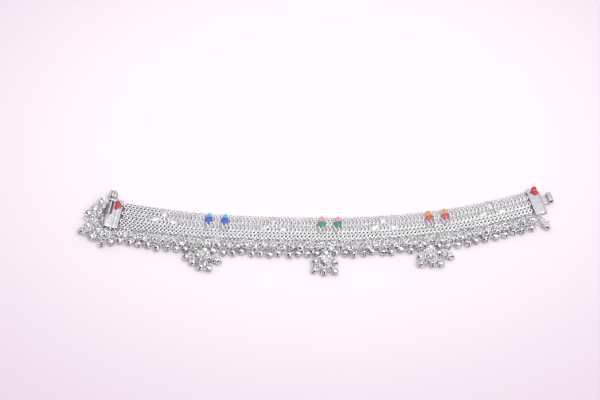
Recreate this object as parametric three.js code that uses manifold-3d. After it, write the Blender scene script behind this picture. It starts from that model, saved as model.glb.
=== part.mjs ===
// Payal anklet, laid open and face up: a woven silver band between the two plates of a screw
// clasp, with enamel flowers and hearts on its face, and a fringe of hollow bells on jump rings
// along its front edge.
//
// Units are millimetres, +Z up. Every piece is first built on a straight strip, where x runs
// along the band, y across it towards its back edge and z up. It is then bent in plan, along
// the gentle curve that the anklet lies in.
import * as THREE from "three";
import { mergeVertices } from "three/addons/utils/BufferGeometryUtils.js";
import Module from "manifold-3d";

const wasm = await Module();
wasm.setup();

// ---- Driving dimensions -------------------------------------------------------------------

const TOTAL_LENGTH = 265; // from the screw barrel's outer side to the end of the tongue
const BAND_WIDTH = 16;
const BAND_THICK = 2.6;
const GAP = 0.3; // between any two pieces
const HALF_BAND = BAND_WIDTH / 2;

const HEAD_LENGTH = 9; // screw plate with its barrel
const TAIL_LENGTH = 7.2; // tongue plate without its tongue
const TONGUE_LENGTH = 5.9;
const BAND_START = HEAD_LENGTH + GAP;
const TAIL_START = TOTAL_LENGTH - TONGUE_LENGTH - TAIL_LENGTH;
const BAND_END = TAIL_START - GAP;

// The weave is stretched wider beside the screw plate: its front edge moves out by this much at
// the first end, and the stretch fades away along the band.
const STRETCH = { most: 3, fade: 40 };

// The barrel and the tongue's knuckle share one size and one height, so that the pin joins them.
const BARREL_RADIUS = 1.7;
const BORE_RADIUS = 1.15;
const PIN_RADIUS = 0.8;
const PIN_HEIGHT = 2.9;
const KNUCKLE_SPAN = { from: -3.9, to: 1.9 }; // across the band
const NOTCH_SPAN = { from: -1.3, to: 6.6 };
const NOTCH_FLOOR = { from: -1.4, thick: 0.7 }; // the lip that runs out under the notch

const BELL_RADIUS = 2.05;
const RING_RADIUS = 1.62; // to the middle of the wire
const RING_WIRE = 0.38;
const LINK_RADIUS = 0.38;

const FRINGE_SECTIONS = 9;
const STATIONS_PER_SECTION = 5; // a station holds one long drop and one short drop
const STATIONS = FRINGE_SECTIONS * STATIONS_PER_SECTION;
const FRINGE_START = BAND_START + 1.5;
const FRINGE_END = BAND_END - 0.6;
const STATION_PITCH = (FRINGE_END - FRINGE_START) / STATIONS;

// The curve that the anklet lies in, in plan: arcs that follow on from each other.
const START_HEADING = -12; // degrees
const BENDS = [
  { stretch: "screw plate", length: BAND_START, turn: 0 },
  { stretch: "first quarter", length: 60, turn: 8.2 },
  { stretch: "second quarter", length: 60, turn: 3.8 },
  { stretch: "third quarter", length: 60, turn: 7.5 },
  { stretch: "last quarter", length: BAND_END - BAND_START - 180, turn: 11 },
  { stretch: "tongue plate", length: TOTAL_LENGTH - BAND_END, turn: 0 },
];
const BEND_STEP = 12; // a bent edge has a corner at least this often

// Drops that fan out beside the band's ends. Hooks follow on from each other, and each bell
// hangs from the hook that its row counts.
const HEAD_BUNCH = {
  name: "bunch_head",
  hooks: [
    { along: -0.9, across: -12.9, up: 1.5 },
    { along: -4.8, across: -8.6, up: 1.5 },
    { along: -3.4, across: -1, up: 1.5 },
  ],
  bells: [
    { hook: 2, along: -4.5, across: 5.2, up: BELL_RADIUS },
    { hook: 2, along: -6.6, across: -0.6, up: 2.7 },
    { hook: 1, along: -9.8, across: -3.6, up: BELL_RADIUS },
    { hook: 1, along: -11.4, across: -16, up: BELL_RADIUS },
    { hook: 1, along: -8.4, across: -11.6, up: BELL_RADIUS },
    { hook: 0, along: -4.6, across: -18.7, up: BELL_RADIUS },
    { hook: 0, along: 2, across: -22, up: BELL_RADIUS },
    { hook: 0, along: 2.6, across: -16.6, up: BELL_RADIUS },
    { hook: 0, along: 7.4, across: -20, up: BELL_RADIUS },
  ],
};
const TAIL_BUNCH = {
  name: "bunch_tail",
  hooks: [
    { along: 253.6, across: -10.6, up: 1.6 },
    { along: 253.9, across: -14.4, up: 2.6 },
  ],
  bells: [{ hook: 1, along: 255.6, across: -18.6, up: BELL_RADIUS }],
};

// Hanging clusters. A cluster takes the place of the long drop at its station, and its bells
// are set out from there: sideways, and out from the band's front edge.
const CLUSTERS = [
  {
    name: "cluster_1",
    station: 9,
    bells: [
      { side: 0, out: 9, up: 3 },
      { side: -9.8, out: 14, up: BELL_RADIUS },
      { side: -5.8, out: 17.1, up: BELL_RADIUS },
      { side: -1.4, out: 19.8, up: BELL_RADIUS },
      { side: 3.5, out: 20.3, up: BELL_RADIUS },
      { side: 7.7, out: 14.8, up: BELL_RADIUS },
      { side: -3.4, out: 13.2, up: 3.6 },
      { side: 2.8, out: 14.6, up: 3.2 },
    ],
  },
  {
    name: "cluster_2",
    station: 22,
    bells: [
      { side: 0, out: 8.8, up: 3 },
      { side: -5.9, out: 14, up: BELL_RADIUS },
      { side: -6.4, out: 19.7, up: BELL_RADIUS },
      { side: -1, out: 20.8, up: BELL_RADIUS },
      { side: 5.1, out: 20.5, up: BELL_RADIUS },
      { side: 5.2, out: 14.4, up: BELL_RADIUS },
      { side: -0.6, out: 15, up: 3.4 },
    ],
  },
  {
    name: "cluster_3",
    station: 33,
    bells: [
      { side: 0.4, out: 9, up: 3 },
      { side: -5.9, out: 14.2, up: BELL_RADIUS },
      { side: -6.2, out: 18.6, up: BELL_RADIUS },
      { side: 0, out: 19.4, up: BELL_RADIUS },
      { side: 4.8, out: 20.1, up: BELL_RADIUS },
      { side: 10.5, out: 15.7, up: BELL_RADIUS },
      { side: 4.6, out: 13.6, up: 3.4 },
      { side: -0.8, out: 14.4, up: 3.2 },
    ],
  },
];

// Pairs of enamel flowers, each about its own place along the band.
const FLOWER_PAIRS = [
  { name: "flower_1", along: 65.4, capLength: 2.8, cap: "skyEnamel", petals: "blueEnamel" },
  { name: "flower_2", along: 131.9, capLength: 3.4, cap: "pinkEnamel", petals: "greenEnamel" },
  { name: "flower_3", along: 195.6, capLength: 3.3, cap: "yellowEnamel", petals: "roseEnamel" },
];
const FLOWER_SPACING = 9.6;
const FLOWER_WIDTH = 5.2;
const FLOWER_LENGTH = 7.3;
const FLOWER_TIP = HALF_BAND + 0.1; // across the band, at the cap's point
const ENAMEL_THICK = 0.5;

const HEART = { width: 6.2, length: 5, thick: 0.9, corners: 18 };
const HEARTS = [
  { name: "heart_head", along: 6.6, across: 4.1, up: 3.8, points: 1 },
  { name: "heart_tail", along: 255.6, across: 5.8, up: 3, points: -1 },
];

// ---- Materials ----------------------------------------------------------------------------

const silver = (color, roughness) =>
  new THREE.MeshStandardMaterial({ color, roughness, metalness: 1 });
const enamel = (color) =>
  new THREE.MeshStandardMaterial({ color, roughness: 0.12, metalness: 0 });

const materials = {
  wovenSilver: silver(0xd5d6da, 0.32),
  plateSilver: silver(0xe0e1e5, 0.22),
  bellSilver: silver(0xdcdde0, 0.14),
  redEnamel: enamel(0xb5272d),
  skyEnamel: enamel(0x14b4ee),
  blueEnamel: enamel(0x2660cf),
  pinkEnamel: enamel(0xf58db2),
  greenEnamel: enamel(0x079a5f),
  yellowEnamel: enamel(0xf2b01e),
  roseEnamel: enamel(0xd2425c),
};

// ---- Solids and the bent strip --------------------------------------------------------------

const { degToRad } = THREE.MathUtils;

// A closed geometry as a manifold-3d solid.
function solidOf(geometry) {
  const flat = geometry.index ? geometry.toNonIndexed() : geometry;
  const bare = new THREE.BufferGeometry();
  bare.setAttribute("position", flat.getAttribute("position"));
  const merged = mergeVertices(bare, 1e-4);
  return new wasm.Manifold(
    new wasm.Mesh({
      numProp: 3,
      vertProperties: merged.getAttribute("position").array,
      triVerts: new Uint32Array(merged.index.array),
    }),
  );
}

function geometryOf(solid) {
  const { vertProperties, triVerts } = solid.getMesh();
  const geometry = new THREE.BufferGeometry();
  geometry.setAttribute("position", new THREE.BufferAttribute(vertProperties, 3));
  geometry.setIndex(new THREE.BufferAttribute(triVerts, 1));
  return geometry;
}

const joined = (geometries) =>
  geometries.map(solidOf).reduce((whole, piece) => whole.add(piece));

// Where the route is, and which way it heads, at a distance along it. It runs on straight past
// both ends.
function routeAt(along) {
  const place = { x: 0, y: 0, heading: degToRad(START_HEADING) };
  let left = along;
  for (const [i, { length, turn }] of BENDS.entries()) {
    const step = i === BENDS.length - 1 ? left : Math.min(left, length);
    const halfTurn = degToRad(turn * (step / length)) / 2;
    const chord = halfTurn ? (step * Math.sin(halfTurn)) / halfTurn : step;
    place.x += chord * Math.cos(place.heading + halfTurn);
    place.y += chord * Math.sin(place.heading + halfTurn);
    place.heading += 2 * halfTurn;
    left -= step;
    if (left <= 0) break;
  }
  return place;
}

// Moves every corner of a geometry from the straight strip to the bent one.
function bend(geometry) {
  const corners = geometry.getAttribute("position");
  for (let i = 0; i < corners.count; i++) {
    const { x, y, heading } = routeAt(corners.getX(i));
    const across = corners.getY(i);
    corners.setX(i, x - across * Math.sin(heading));
    corners.setY(i, y + across * Math.cos(heading));
  }
  return geometry;
}

// Where the front edge of the stretched weave is, across the band.
const frontEdge = (along) => -HALF_BAND - STRETCH.most * Math.exp(-along / STRETCH.fade);

// Widens a geometry of the straight strip with the weave. Between the two edges it is scaled
// from the back edge, and past the front edge it is only moved.
function stretch(geometry) {
  const corners = geometry.getAttribute("position");
  for (let i = 0; i < corners.count; i++) {
    const across = corners.getY(i);
    const moved = frontEdge(corners.getX(i)) + HALF_BAND;
    const share = Math.min(1, Math.max(0, (HALF_BAND - across) / BAND_WIDTH));
    corners.setY(i, across + share * moved);
  }
  return geometry;
}

function piece(name, geometry, material) {
  const mesh = new THREE.Mesh(bend(geometry), material);
  mesh.name = name;
  mesh.geometry.computeVertexNormals();
  return mesh;
}

// A section given across the band and up, run along it.
const SECTION_AXES = new THREE.Matrix4().makeBasis(
  new THREE.Vector3(0, 1, 0),
  new THREE.Vector3(0, 0, 1),
  new THREE.Vector3(1, 0, 0),
);
function runAlong(points, from, to) {
  const shape = new THREE.Shape(
    points.map(({ across, up }) => new THREE.Vector2(across, up)),
  );
  const steps = Math.ceil((to - from) / BEND_STEP);
  return new THREE.ExtrudeGeometry(shape, { depth: to - from, steps, bevelEnabled: false })
    .applyMatrix4(SECTION_AXES)
    .translate(from, 0, 0);
}

// A profile given along the band and up, run across it.
const ROUND_STEPS = 5;
function runAcross(shape, span) {
  return new THREE.ExtrudeGeometry(shape, {
    depth: span.to - span.from,
    curveSegments: ROUND_STEPS,
    bevelEnabled: false,
  })
    .rotateX(Math.PI / 2)
    .translate(0, span.to, 0);
}

// An outline given along and across the band, raised to a plate of some thickness.
function runUp(shape, thick, up) {
  return new THREE.ExtrudeGeometry(shape, { depth: thick, bevelEnabled: false }).translate(
    0,
    0,
    up,
  );
}

const outline = (points) => new THREE.Shape(points.map(([x, y]) => new THREE.Vector2(x, y)));

// ---- Band -----------------------------------------------------------------------------------

// The band is flat underneath and rolls down at its front edge, where the fringe hangs.
function wovenBand() {
  const section = [
    { across: HALF_BAND - 0.4, up: 0 },
    { across: HALF_BAND, up: 0.5 },
    { across: HALF_BAND, up: BAND_THICK - 0.6 },
    { across: HALF_BAND - 0.6, up: BAND_THICK },
    { across: -HALF_BAND + 3.6, up: BAND_THICK },
    { across: -HALF_BAND + 1.2, up: BAND_THICK - 0.4 },
    { across: -HALF_BAND, up: BAND_THICK - 1.4 },
    { across: -HALF_BAND, up: 0.5 },
    { across: -HALF_BAND + 0.4, up: 0 },
  ];
  const strip = stretch(runAlong(section, BAND_START, BAND_END));
  return piece("woven_band", strip, materials.wovenSilver);
}

// ---- Screw clasp ------------------------------------------------------------------------------

// A round bar or bore that lies across the band at the pin's height.
function crossBar(radius, along, span, sides) {
  return new THREE.CylinderGeometry(radius, radius, span.to - span.from, sides).translate(
    along,
    (span.from + span.to) / 2,
    PIN_HEIGHT,
  );
}

// The plate that caps the band's first end is one sheet with the barrel for the screw pin. A
// notch in the barrel takes the tongue's knuckle, over a lip that runs out beneath it.
function screwPlate() {
  const span = { from: -HALF_BAND - 0.3, to: HALF_BAND + 0.2 };
  const top = 3.3;
  const profile = new THREE.Shape();
  profile.moveTo(HEAD_LENGTH, 0);
  profile.lineTo(HEAD_LENGTH, top);
  profile.lineTo(BARREL_RADIUS + 2.9, top + 0.2);
  profile.lineTo(BARREL_RADIUS, PIN_HEIGHT + BARREL_RADIUS);
  profile.absarc(BARREL_RADIUS, PIN_HEIGHT, BARREL_RADIUS, Math.PI / 2, (3 * Math.PI) / 2);
  profile.lineTo(BARREL_RADIUS + 1.1, 0);
  const bore = crossBar(
    BORE_RADIUS,
    BARREL_RADIUS,
    { from: span.from - 1, to: span.to + 1 },
    10,
  );
  const notchDepth = 2 * BARREL_RADIUS + GAP;
  const notch = new THREE.BoxGeometry(
    notchDepth + 1,
    NOTCH_SPAN.to - NOTCH_SPAN.from,
    3 * HEAD_LENGTH,
  ).translate((notchDepth - 1) / 2, (NOTCH_SPAN.from + NOTCH_SPAN.to) / 2, 0);
  const lip = new THREE.BoxGeometry(
    notchDepth + 0.5 - NOTCH_FLOOR.from,
    NOTCH_SPAN.to - NOTCH_SPAN.from - 2 * GAP,
    NOTCH_FLOOR.thick,
  ).translate(
    (notchDepth + 0.5 + NOTCH_FLOOR.from) / 2,
    (NOTCH_SPAN.from + NOTCH_SPAN.to) / 2,
    NOTCH_FLOOR.thick / 2,
  );
  const body = solidOf(runAcross(profile, span))
    .subtract(solidOf(bore))
    .subtract(solidOf(notch))
    .add(solidOf(lip));
  return piece("screw_plate", stretch(geometryOf(body)), materials.plateSilver);
}

// The screw pin: a plain shank and a fluted thumb head.
function screwPin() {
  const head = { from: HALF_BAND + 0.5, to: HALF_BAND + 5.1, radius: 2.6, flute: 0.2, lobes: 8 };
  const corners = 3 * head.lobes;
  const fluted = new THREE.Shape(
    Array.from({ length: corners }, (_, i) => {
      const angle = (2 * Math.PI * i) / corners;
      const radius = head.radius + head.flute * Math.cos(head.lobes * angle);
      return new THREE.Vector2(
        BARREL_RADIUS + radius * Math.cos(angle),
        PIN_HEIGHT + radius * Math.sin(angle),
      );
    }),
  );
  const shank = crossBar(
    PIN_RADIUS,
    BARREL_RADIUS,
    { from: -HALF_BAND + 0.6, to: head.from + 1 },
    8,
  );
  return piece(
    "screw_pin",
    geometryOf(joined([runAcross(fluted, head), shank])),
    materials.plateSilver,
  );
}

// The plate at the band's other end, with a corner cut off and a step along its outer edge. Its
// tongue is a flat tab that ends in a rolled knuckle.
function tonguePlate() {
  const span = { from: -HALF_BAND - 1.4, to: HALF_BAND + 0.6 };
  const top = 3;
  const edge = TAIL_START + TAIL_LENGTH;
  const plate = outline([
    [TAIL_START, span.from],
    [edge, span.from],
    [edge, span.to - 2.8],
    [edge - 4.5, span.to],
    [TAIL_START, span.to],
  ]);
  const step = { width: 1, depth: 0.6 };
  const above = new THREE.BoxGeometry(2 * step.width, 3 * BAND_WIDTH, 2 * step.depth).translate(
    edge,
    0,
    top,
  );
  const knuckleAt = TOTAL_LENGTH - BARREL_RADIUS;
  const tab = outline([
    [edge - 0.8, PIN_HEIGHT - 1.4],
    [knuckleAt, PIN_HEIGHT - 1.4],
    [knuckleAt, PIN_HEIGHT - 0.2],
    [edge + 0.4, PIN_HEIGHT - 0.2],
    [edge - 0.8, PIN_HEIGHT - 0.8],
  ]);
  const knuckle = crossBar(BARREL_RADIUS, knuckleAt, KNUCKLE_SPAN, 14);
  const bore = crossBar(
    BORE_RADIUS,
    knuckleAt,
    { from: KNUCKLE_SPAN.from - 1, to: KNUCKLE_SPAN.to + 1 },
    10,
  );
  const body = solidOf(runUp(plate, top, 0))
    .subtract(solidOf(above))
    .add(solidOf(runAcross(tab, { from: KNUCKLE_SPAN.from + 0.2, to: KNUCKLE_SPAN.to - 0.2 })))
    .add(solidOf(knuckle))
    .subtract(solidOf(bore));
  return piece("tongue_plate", geometryOf(body), materials.plateSilver);
}

// ---- Enamel -------------------------------------------------------------------------------------

// A heart whose point lies along the band: to +x where points is 1 and to -x where it is -1.
function heart({ name, along, across, up, points }) {
  const shape = new THREE.Shape(
    Array.from({ length: HEART.corners }, (_, i) => {
      const t = (2 * Math.PI * (i + 0.5)) / HEART.corners;
      const side = Math.sin(t) ** 3;
      const rise = (13 * Math.cos(t) - 5 * Math.cos(2 * t) - 2 * Math.cos(3 * t) - Math.cos(4 * t)) / 29;
      return new THREE.Vector2(
        along - points * (rise + 0.09) * HEART.length,
        across + points * (side * HEART.width) / 2,
      );
    }),
  );
  return piece(name, runUp(shape, HEART.thick, up + GAP), materials.redEnamel);
}

// A bell-shaped flower that hangs from its cap, with three pointed petals. Cap and petals are
// two fills of enamel.
function flower({ name, capLength, cap, petals }, middle) {
  const half = FLOWER_WIDTH / 2;
  const capEnd = FLOWER_TIP - capLength;
  const petalsTop = capEnd - GAP;
  const petalsEnd = FLOWER_TIP - FLOWER_LENGTH;
  const petalsLength = petalsTop - petalsEnd;
  const capShape = outline([
    [middle, FLOWER_TIP],
    [middle - 0.36 * half, FLOWER_TIP - 0.4 * capLength],
    [middle - 0.64 * half, capEnd],
    [middle + 0.64 * half, capEnd],
    [middle + 0.36 * half, FLOWER_TIP - 0.4 * capLength],
  ]);
  const petalsShape = outline([
    [middle - 0.66 * half, petalsTop],
    [middle - 0.86 * half, petalsTop - 0.4 * petalsLength],
    [middle - half, petalsEnd + 0.3 * petalsLength],
    [middle - 0.42 * half, petalsEnd + 0.22 * petalsLength],
    [middle, petalsEnd],
    [middle + 0.42 * half, petalsEnd + 0.22 * petalsLength],
    [middle + half, petalsEnd + 0.3 * petalsLength],
    [middle + 0.86 * half, petalsTop - 0.4 * petalsLength],
    [middle + 0.66 * half, petalsTop],
  ]);
  const up = BAND_THICK + GAP;
  return [
    piece(`${name}_cap`, runUp(capShape, ENAMEL_THICK, up), materials[cap]),
    piece(`${name}_petals`, runUp(petalsShape, ENAMEL_THICK, up), materials[petals]),
  ];
}

function flowerPair(pair) {
  return ["a", "b"].flatMap((letter, i) =>
    flower({ ...pair, name: `${pair.name}${letter}` }, pair.along + (i - 0.5) * FLOWER_SPACING),
  );
}

// ---- Bells, rings and links ---------------------------------------------------------------------

// A repeatable scatter between -1 and 1 for the drop and the quality that are counted here.
function scatter(drop, quality) {
  const wave = Math.sin(drop * 12.9898 + quality * 78.233) * 43758.5453;
  return 2 * (wave - Math.floor(wave)) - 1;
}

const pointOf = ({ along, across, up }) => new THREE.Vector3(along, across, up);
const outside = (along, out) => frontEdge(along) - out; // a distance beyond the front edge

// A bell is drawn as a ball of few faces that stands on a corner.
const CORNER_UP = Math.atan(2 / (1 + Math.sqrt(5)));
const bell = (place) =>
  new THREE.IcosahedronGeometry(BELL_RADIUS)
    .rotateX(CORNER_UP)
    .translate(place.along, place.across, place.up);

// A link between two places, drawn as a thin bar.
function link(from, to) {
  const start = pointOf(from);
  const end = pointOf(to);
  const turn = new THREE.Quaternion().setFromUnitVectors(
    new THREE.Vector3(0, 1, 0),
    end.clone().sub(start).normalize(),
  );
  return new THREE.CylinderGeometry(LINK_RADIUS, LINK_RADIUS, start.distanceTo(end), 3)
    .applyQuaternion(turn)
    .translate(...start.add(end).divideScalar(2));
}

// A jump ring that leans from the band's front edge onto the bell that it carries.
const RING_LEAN = 0.7; // radians above the surface that the anklet lies on
const ring = (along) =>
  new THREE.TorusGeometry(RING_RADIUS, RING_WIRE, 3, 5)
    .rotateZ(Math.PI / 2)
    .rotateX(-RING_LEAN)
    .translate(along, outside(along, 2.2), 2.2);

// ---- Fringe ---------------------------------------------------------------------------------------

const stationAt = (i) => FRINGE_START + i * STATION_PITCH;

// The long drop's bell at a station hangs on a straight run of links between the short drops.
function longDrop(i) {
  const along = stationAt(i + 0.25);
  const place = {
    along: along + 0.2 * scatter(i, 1),
    across: outside(along, 8.6 + scatter(i, 2)),
    up: BELL_RADIUS,
  };
  return [link({ along, across: outside(along, 0.8), up: 0.8 }, place), bell(place)];
}

// The short drop's bell hangs from one leaning ring, and some bells stand a little higher.
function shortDrop(i) {
  const along = stationAt(i + 0.75);
  const place = {
    along: along + 0.15 * scatter(i, 3),
    across: outside(along, 4.2 + 0.2 * scatter(i, 4)),
    up: BELL_RADIUS + 0.5 * Math.max(0, scatter(i, 5)),
  };
  return [ring(along), bell(place)];
}

// The row of small edge links that carries one section's drops, as a slim rail.
function edgeRail(from, to) {
  const [near, far] = [-HALF_BAND - GAP, -HALF_BAND - GAP - 1];
  const rail = [
    { across: near, up: 0.3 },
    { across: near, up: 1.3 },
    { across: far, up: 1.3 },
    { across: far, up: 0.3 },
  ];
  return stretch(runAlong(rail, from, to));
}

// A section of the fringe: five stations on one rail.
function fringeSection(number) {
  const first = number * STATIONS_PER_SECTION;
  const last = first + STATIONS_PER_SECTION;
  const taken = CLUSTERS.map(({ station }) => station);
  const margin = 0.5;
  const parts = [edgeRail(stationAt(first) + margin, stationAt(last) - margin)];
  for (let i = first; i < last; i++) {
    if (!taken.includes(i)) parts.push(...longDrop(i));
    parts.push(...shortDrop(i));
  }
  return piece(`fringe_${number + 1}`, geometryOf(joined(parts)), materials.bellSilver);
}

// A cluster hangs on a spine of links that passes over the fringe between two short drops.
function cluster({ name, station, bells }) {
  const root = stationAt(station + 0.25);
  const spine = [
    { along: root, across: outside(root, 2), up: 1.6 },
    { along: root, across: outside(root, 3.6), up: 3.3 },
    { along: root, across: outside(root, 11.5), up: 3.5 },
  ];
  const end = spine.at(-1);
  const parts = spine.slice(1).map((place, i) => link(spine[i], place));
  for (const { side, out, up } of bells) {
    const place = { along: root + side, across: outside(root, out), up };
    parts.push(bell(place), link(end, place));
  }
  return piece(name, geometryOf(joined(parts)), materials.bellSilver);
}

// A bunch of drops that fans out from hooks beside a corner of the band.
function bunch({ name, hooks, bells }) {
  const parts = hooks.slice(1).map((place, i) => link(hooks[i], place));
  for (const place of bells) {
    parts.push(bell(place), link(hooks[place.hook], place));
  }
  return piece(name, geometryOf(joined(parts)), materials.bellSilver);
}

// ---- Anklet ---------------------------------------------------------------------------------------

const anklet = new THREE.Group();
anklet.add(
  wovenBand(),
  screwPlate(),
  screwPin(),
  tonguePlate(),
  ...HEARTS.map(heart),
  ...FLOWER_PAIRS.flatMap(flowerPair),
  ...Array.from({ length: FRINGE_SECTIONS }, (_, i) => fringeSection(i)),
  ...CLUSTERS.map(cluster),
  bunch(HEAD_BUNCH),
  bunch(TAIL_BUNCH),
);

// The part's origin is the middle of its box's underside.
const bounds = new THREE.Box3().setFromObject(anklet);
const centre = bounds.getCenter(new THREE.Vector3());
anklet.position.set(-centre.x, -centre.y, -bounds.min.z);

export default anklet;
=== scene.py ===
"""Payal anklet, laid open and face up: its finished surfaces, built around the fixed frame.

Every shape is first worked out on a straight strip, in millimetres. The first number runs along
the band, the second across it towards its back edge, and the third up. The strip is then laid
along the gentle curve that the anklet lies in, and comes out in metres.
"""

import logging
import math
from collections.abc import Sequence
from dataclasses import dataclass, field
from enum import Enum

import bpy
import numpy as np
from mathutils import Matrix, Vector

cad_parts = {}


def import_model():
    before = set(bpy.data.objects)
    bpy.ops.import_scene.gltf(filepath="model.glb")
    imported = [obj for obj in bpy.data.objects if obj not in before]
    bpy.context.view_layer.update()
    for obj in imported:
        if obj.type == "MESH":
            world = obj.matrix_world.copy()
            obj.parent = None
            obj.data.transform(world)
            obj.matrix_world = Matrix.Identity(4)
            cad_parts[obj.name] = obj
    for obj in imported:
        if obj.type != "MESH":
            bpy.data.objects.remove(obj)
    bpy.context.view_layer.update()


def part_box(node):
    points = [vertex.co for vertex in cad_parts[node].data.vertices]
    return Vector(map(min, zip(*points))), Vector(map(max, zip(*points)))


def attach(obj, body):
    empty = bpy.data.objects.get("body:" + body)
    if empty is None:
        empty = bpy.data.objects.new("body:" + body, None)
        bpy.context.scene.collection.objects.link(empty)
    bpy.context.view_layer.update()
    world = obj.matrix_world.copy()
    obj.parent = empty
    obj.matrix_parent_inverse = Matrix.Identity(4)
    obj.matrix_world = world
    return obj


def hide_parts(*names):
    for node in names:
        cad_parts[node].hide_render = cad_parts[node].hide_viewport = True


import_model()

Array = np.ndarray
Colour = tuple[float, float, float]
Point = tuple[float, float, float]

MM = 0.001
TURN = 2 * math.pi
LOG = logging.getLogger("anklet")

# Steps of these shares of a length, taken past its end and back, never line up.
GOLDEN = 0.618034
GOLDEN_REST = 0.381966

# Wires have few sides, so edges that bend less than this are smooth on them.
WIRE_CREASE = 95.0

FLOWER_MIDDLES = (65.4, 131.9, 195.6)
FLOWER_SPACING = 9.6


class Body(Enum):
    """The parts that move on their own."""

    ANKLET = "anklet"
    SCREW = "screw"


class Slot(Enum):
    """The finishes that a scene may repaint."""

    WOVEN = "woven_silver"
    PLATE = "plate_silver"
    SCREW = "screw_silver"
    BELL = "bell_silver"
    RED = "enamel_red"
    SKY = "enamel_sky"
    BLUE = "enamel_blue"
    PINK = "enamel_pink"
    GREEN = "enamel_green"
    YELLOW = "enamel_yellow"
    ROSE = "enamel_rose"


# ---- Arrays ------------------------------------------------------------------------------------


def grid_quads(rows: int, columns: int, closed: bool = False) -> Array:
    """Faces of a grid of corners whose columns run round: (i, j), (i, j+1), (i+1, j+1), (i+1, j).

    Args:
        rows: How many rings of corners there are.
        columns: How many corners each ring has.
        closed: Whether the last ring joins the first.

    Returns:
        Four corner numbers for each face.
    """
    i, j = np.meshgrid(np.arange(rows if closed else rows - 1), np.arange(columns), indexing="ij")
    below, beside = (i + 1) % rows * columns, (j + 1) % columns
    faces = [i * columns + j, i * columns + beside, below + beside, below + j]
    return np.stack(faces, -1).reshape(-1, 4)


def turned_about(axis: int, angles: Array | float) -> Array:
    """Matrices that turn the plane of the other two axes by each angle, in radians."""
    angles = np.atleast_1d(np.asarray(angles, float))
    one, two = (axis + 1) % 3, (axis + 2) % 3
    turns = np.zeros((len(angles), 3, 3))
    turns[:, axis, axis] = 1
    turns[:, one, one] = turns[:, two, two] = np.cos(angles)
    turns[:, two, one] = np.sin(angles)
    turns[:, one, two] = -np.sin(angles)
    return turns


def pointing(directions: Array, roll: Array | float = 0.0) -> Array:
    """Matrices that turn the third axis to each direction and then roll about it.

    Args:
        directions: One direction a row.
        roll: The roll about each direction, in radians.

    Returns:
        One matrix for each direction, whose columns are the turned axes.
    """
    third = directions / np.linalg.norm(directions, axis=1, keepdims=True)
    steep = np.abs(third[:, 2:]) > 0.95
    first = np.cross(np.where(steep, [1.0, 0.0, 0.0], [0.0, 0.0, 1.0]), third)
    first /= np.linalg.norm(first, axis=1, keepdims=True)
    return np.stack([first, np.cross(third, first), third], -1) @ turned_about(2, roll)


def rounded(points: Sequence[tuple[float, float]], radius: float, steps: int = 4) -> Array:
    """A closed outline with soft corners.

    Each corner P becomes the curve (1-t)^2 A + 2 t (1-t) P + t^2 B, where A and B lie on the
    sides that meet there, a radius away from P or halfway along a short side.

    Args:
        points: The sharp outline.
        radius: How far from each corner the curve starts.
        steps: Points on each corner.

    Returns:
        The soft outline, one point a row.
    """
    sharp = np.asarray(points, float)
    t = np.linspace(0, 1, steps)[None, :, None]

    def leg(shift: int) -> Array:
        """Where the curve meets the side towards a neighbour."""
        away = np.roll(sharp, shift, 0) - sharp
        length = np.linalg.norm(away, axis=1, keepdims=True)
        return sharp + away * np.minimum(radius / length, 0.5)

    before, after = leg(1)[:, None], leg(-1)[:, None]
    curve = (1 - t) ** 2 * before + 2 * t * (1 - t) * sharp[:, None] + t**2 * after
    return curve.reshape(-1, 2)


def spaced(points: Array, count: int) -> Array:
    """A closed outline again, as a number of points at even steps along its length."""
    ring = np.concatenate([points, points[:1]])
    run = np.concatenate([[0], np.cumsum(np.linalg.norm(np.diff(ring, axis=0), axis=1))])
    at = np.arange(count) / count * run[-1]
    return np.stack([np.interp(at, run, ring[:, k]) for k in range(ring.shape[1])], -1)


def smooth_step(values: Array, low: float, high: float) -> Array:
    """3t^2 - 2t^3, where t is how far a value is from low to high."""
    t = np.clip((values - low) / (high - low), 0, 1)
    return t * t * (3 - 2 * t)


def points(x: Array | float, y: Array | float, z: Array | float) -> Array:
    """Points from their three coordinates, which are spread to one shape."""
    return np.stack(np.broadcast_arrays(x, y, z), -1)


def slab(outline: Array, middle: Sequence[float], across: Sequence[float]) -> Array:
    """Rings of an outline of along and up, carried across and drawn in at both ends.

    Args:
        outline: The closed outline.
        middle: The point that the ends are drawn in towards.
        across: Where the seven rings are.

    Returns:
        The rings' corners.
    """
    shrink = np.array([0.9, 0.97, 1, 1, 1, 0.97, 0.9])[:, None]
    x, z = (middle[k] + (outline[:, k] - middle[k]) * shrink for k in (0, 1))
    return points(x, np.array(across)[:, None], z)


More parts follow.
